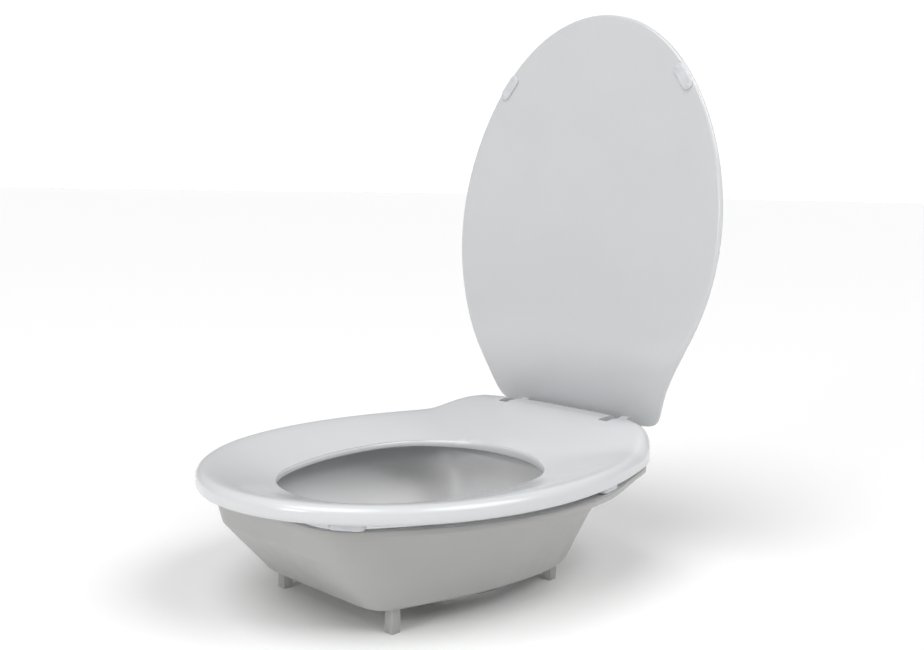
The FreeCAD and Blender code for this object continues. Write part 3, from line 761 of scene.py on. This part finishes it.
steel = turned_steel()
carried = {"hinge_block": hinge_plastic, "wing_nut": hinge_plastic, "hinge_bushes": bush_plastic,
           "bolt_gasket": rubber, "hinge_pin": steel, "hinge_bolt": steel}
finishes = {f"{name}_{side}": finish for name, finish in carried.items() for side in ("left", "right")}
finishes |= {"leg_screws": steel, "leg_screw_washers": rubber}
for name, finish in finishes.items():
    nodes[name].data.materials.clear()
    nodes[name].data.materials.append(finish)

# ---------------------------------------------------------------- floor, light and camera
# A seamless white studio floor under broad soft light from high in front and high on the right, with a low
# disk of light before the object.
# The camera stands low at the object's front right corner.
def build_studio():
    mesh = bmesh.new()
    bmesh.ops.create_grid(mesh, x_segments=1, y_segments=1, size=60)
    data = bpy.data.meshes.new("studio_floor")
    mesh.to_mesh(data)
    mesh.free()
    floor = bpy.data.objects.new("studio_floor", data)
    bpy.context.scene.collection.objects.link(floor)
    white = bpy.data.materials.new("studio_white")
    white.use_nodes = True
    shader = white.node_tree.nodes["Principled BSDF"]
    grain = node(white.node_tree, "ShaderNodeTexNoise", Scale=3.0)
    tint = node(white.node_tree, "ShaderNodeMix", data_type="RGBA")
    tint.inputs[6].default_value = (0.89, 0.89, 0.89, 1)
    tint.inputs[7].default_value = (0.92, 0.92, 0.92, 1)
    white.node_tree.links.new(grain.outputs["Fac"], tint.inputs["Factor"])
    white.node_tree.links.new(tint.outputs[2], shader.inputs["Base Color"])
    shader.inputs["Roughness"].default_value = 0.9
    data.materials.append(white)
    floor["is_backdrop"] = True


build_studio()


def add_light(name, kind, place, power, **shape):
    """A light that looks at the middle of the object."""
    light = bpy.data.lights.new(name, kind)
    light.energy = power
    for key, value in shape.items():
        setattr(light, key, value)
    lamp = bpy.data.objects.new(name, light)
    aim = (cad_low + cad_high) / 2 - Vector(place)
    lamp.matrix_world = Matrix.Translation(place) @ aim.to_track_quat("-Z", "Y").to_matrix().to_4x4()
    bpy.context.scene.collection.objects.link(lamp)


add_light("front_sun", "SUN", (0.2, -1.3, 2.6), 1.6, angle=math.radians(40))
add_light("right_sun", "SUN", (1.5, 0.5, 2.1), 1.6, angle=math.radians(40))
add_light("front_softbox", "AREA", (0.1, -2.2, 0.9), 11, shape="DISK", size=0.7)

ambient_strength, backdrop_strength = 0.30, 1.05
world = bpy.data.worlds.new("studio")
bpy.context.scene.world = world
world.use_nodes = True
world.node_tree.nodes["Background"].inputs["Color"].default_value = (1, 1, 1, 1)
seen = node(world.node_tree, "ShaderNodeLightPath")
glow = node(world.node_tree, "ShaderNodeMapRange")
glow.inputs["To Min"].default_value, glow.inputs["To Max"].default_value = ambient_strength, backdrop_strength
world.node_tree.links.new(seen.outputs["Is Camera Ray"], glow.inputs["Value"])
world.node_tree.links.new(glow.outputs["Result"], world.node_tree.nodes["Background"].inputs["Strength"])
bpy.context.scene.view_settings.view_transform = "Standard"

camera_data = bpy.data.cameras.new("camera")
camera = bpy.data.objects.new("camera", camera_data)
bpy.context.scene.collection.objects.link(camera)
bpy.context.scene.camera = camera
camera_data.sensor_width = 36.0
camera_data.lens = 44.8
camera_data.clip_start = 0.05
turn, tilt, roll = math.radians(45.01), math.radians(-6.78), math.radians(1.0)
camera.matrix_world = (Matrix.Translation((0.8096, -0.7741, 0.39035)) @ Matrix.Rotation(turn, 4, "Z")
                       @ Matrix.Rotation(math.pi / 2 + tilt, 4, "X") @ Matrix.Rotation(roll, 4, "Z"))

low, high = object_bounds()
